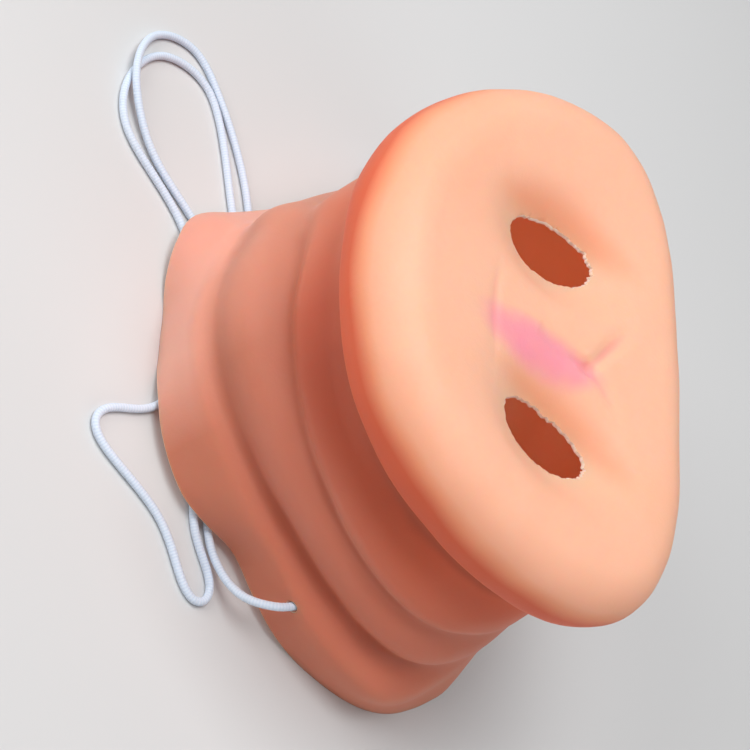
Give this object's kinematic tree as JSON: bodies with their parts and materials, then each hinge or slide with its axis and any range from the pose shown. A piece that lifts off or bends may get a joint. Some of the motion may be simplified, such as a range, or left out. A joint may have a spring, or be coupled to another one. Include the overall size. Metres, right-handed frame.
{
  "type": "costume pig nose",
  "caption": "Hollow soft pig snout with a dished face, nostril holes, folded sides and a flared open back, held on by a thin elastic cord.",
  "frame": {"origin": "centre of the nose's own box in plan, on the surface that its open back rests on", "axes": "+Z out of the face of the snout, +X to the side of one cord hole, +Y to the bridge of the wearer's nose"},
  "size_m": [0.095, 0.0763, 0.049],
  "materials": {
    "latex": "soft matte",
    "elastic": "matte"
  },
  "bodies": {
    "root": {"nose_shell": "latex", "elastic_cord": "elastic", "knot_left": "elastic", "knot_right": "elastic"}
  },
  "joints": []
}
